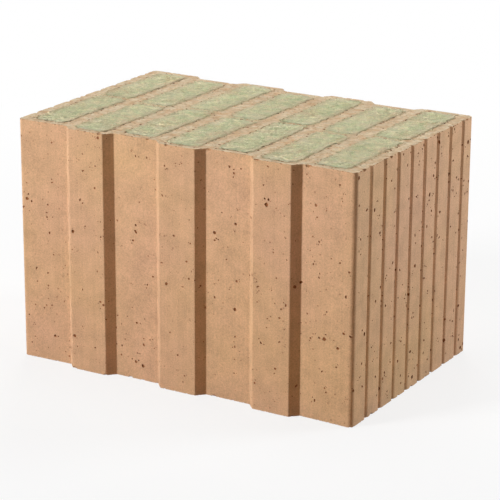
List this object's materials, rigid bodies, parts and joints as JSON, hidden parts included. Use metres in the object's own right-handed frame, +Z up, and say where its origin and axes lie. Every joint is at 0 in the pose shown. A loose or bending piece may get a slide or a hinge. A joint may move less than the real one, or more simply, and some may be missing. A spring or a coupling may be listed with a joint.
{
  "type": "wool-filled hollow clay block",
  "caption": "Fired clay wall block with tongue-and-groove head faces, plaster keys on its side faces and through chambers filled flush with mineral wool.",
  "frame": {"origin": "centre of the footprint, tongues included, on the lower bed face", "axes": "+X across the wall, from plaster face to plaster face; +Y along the wall, from the tongued head face to the grooved one; +Z up"},
  "size_m": [0.38, 0.2546, 0.249],
  "materials": {
    "fired_clay": "matte, extruded and fired, with burnt-out pits; bed faces ground",
    "mineral_wool": "cut fibres, pale grey-green"
  },
  "bodies": {
    "root": {"clay_block": "fired_clay", "wool_insert_front_1": "mineral_wool", "wool_insert_front_2": "mineral_wool", "wool_insert_front_3": "mineral_wool", "wool_insert_front_4": "mineral_wool", "wool_insert_front_5": "mineral_wool", "wool_insert_front_6": "mineral_wool", "wool_insert_front_7": "mineral_wool", "wool_insert_back_1": "mineral_wool", "wool_insert_back_2": "mineral_wool", "wool_insert_back_3": "mineral_wool", "wool_insert_back_4": "mineral_wool", "wool_insert_back_5": "mineral_wool", "wool_insert_back_6": "mineral_wool", "wool_insert_back_7": "mineral_wool"}
  },
  "joints": []
}
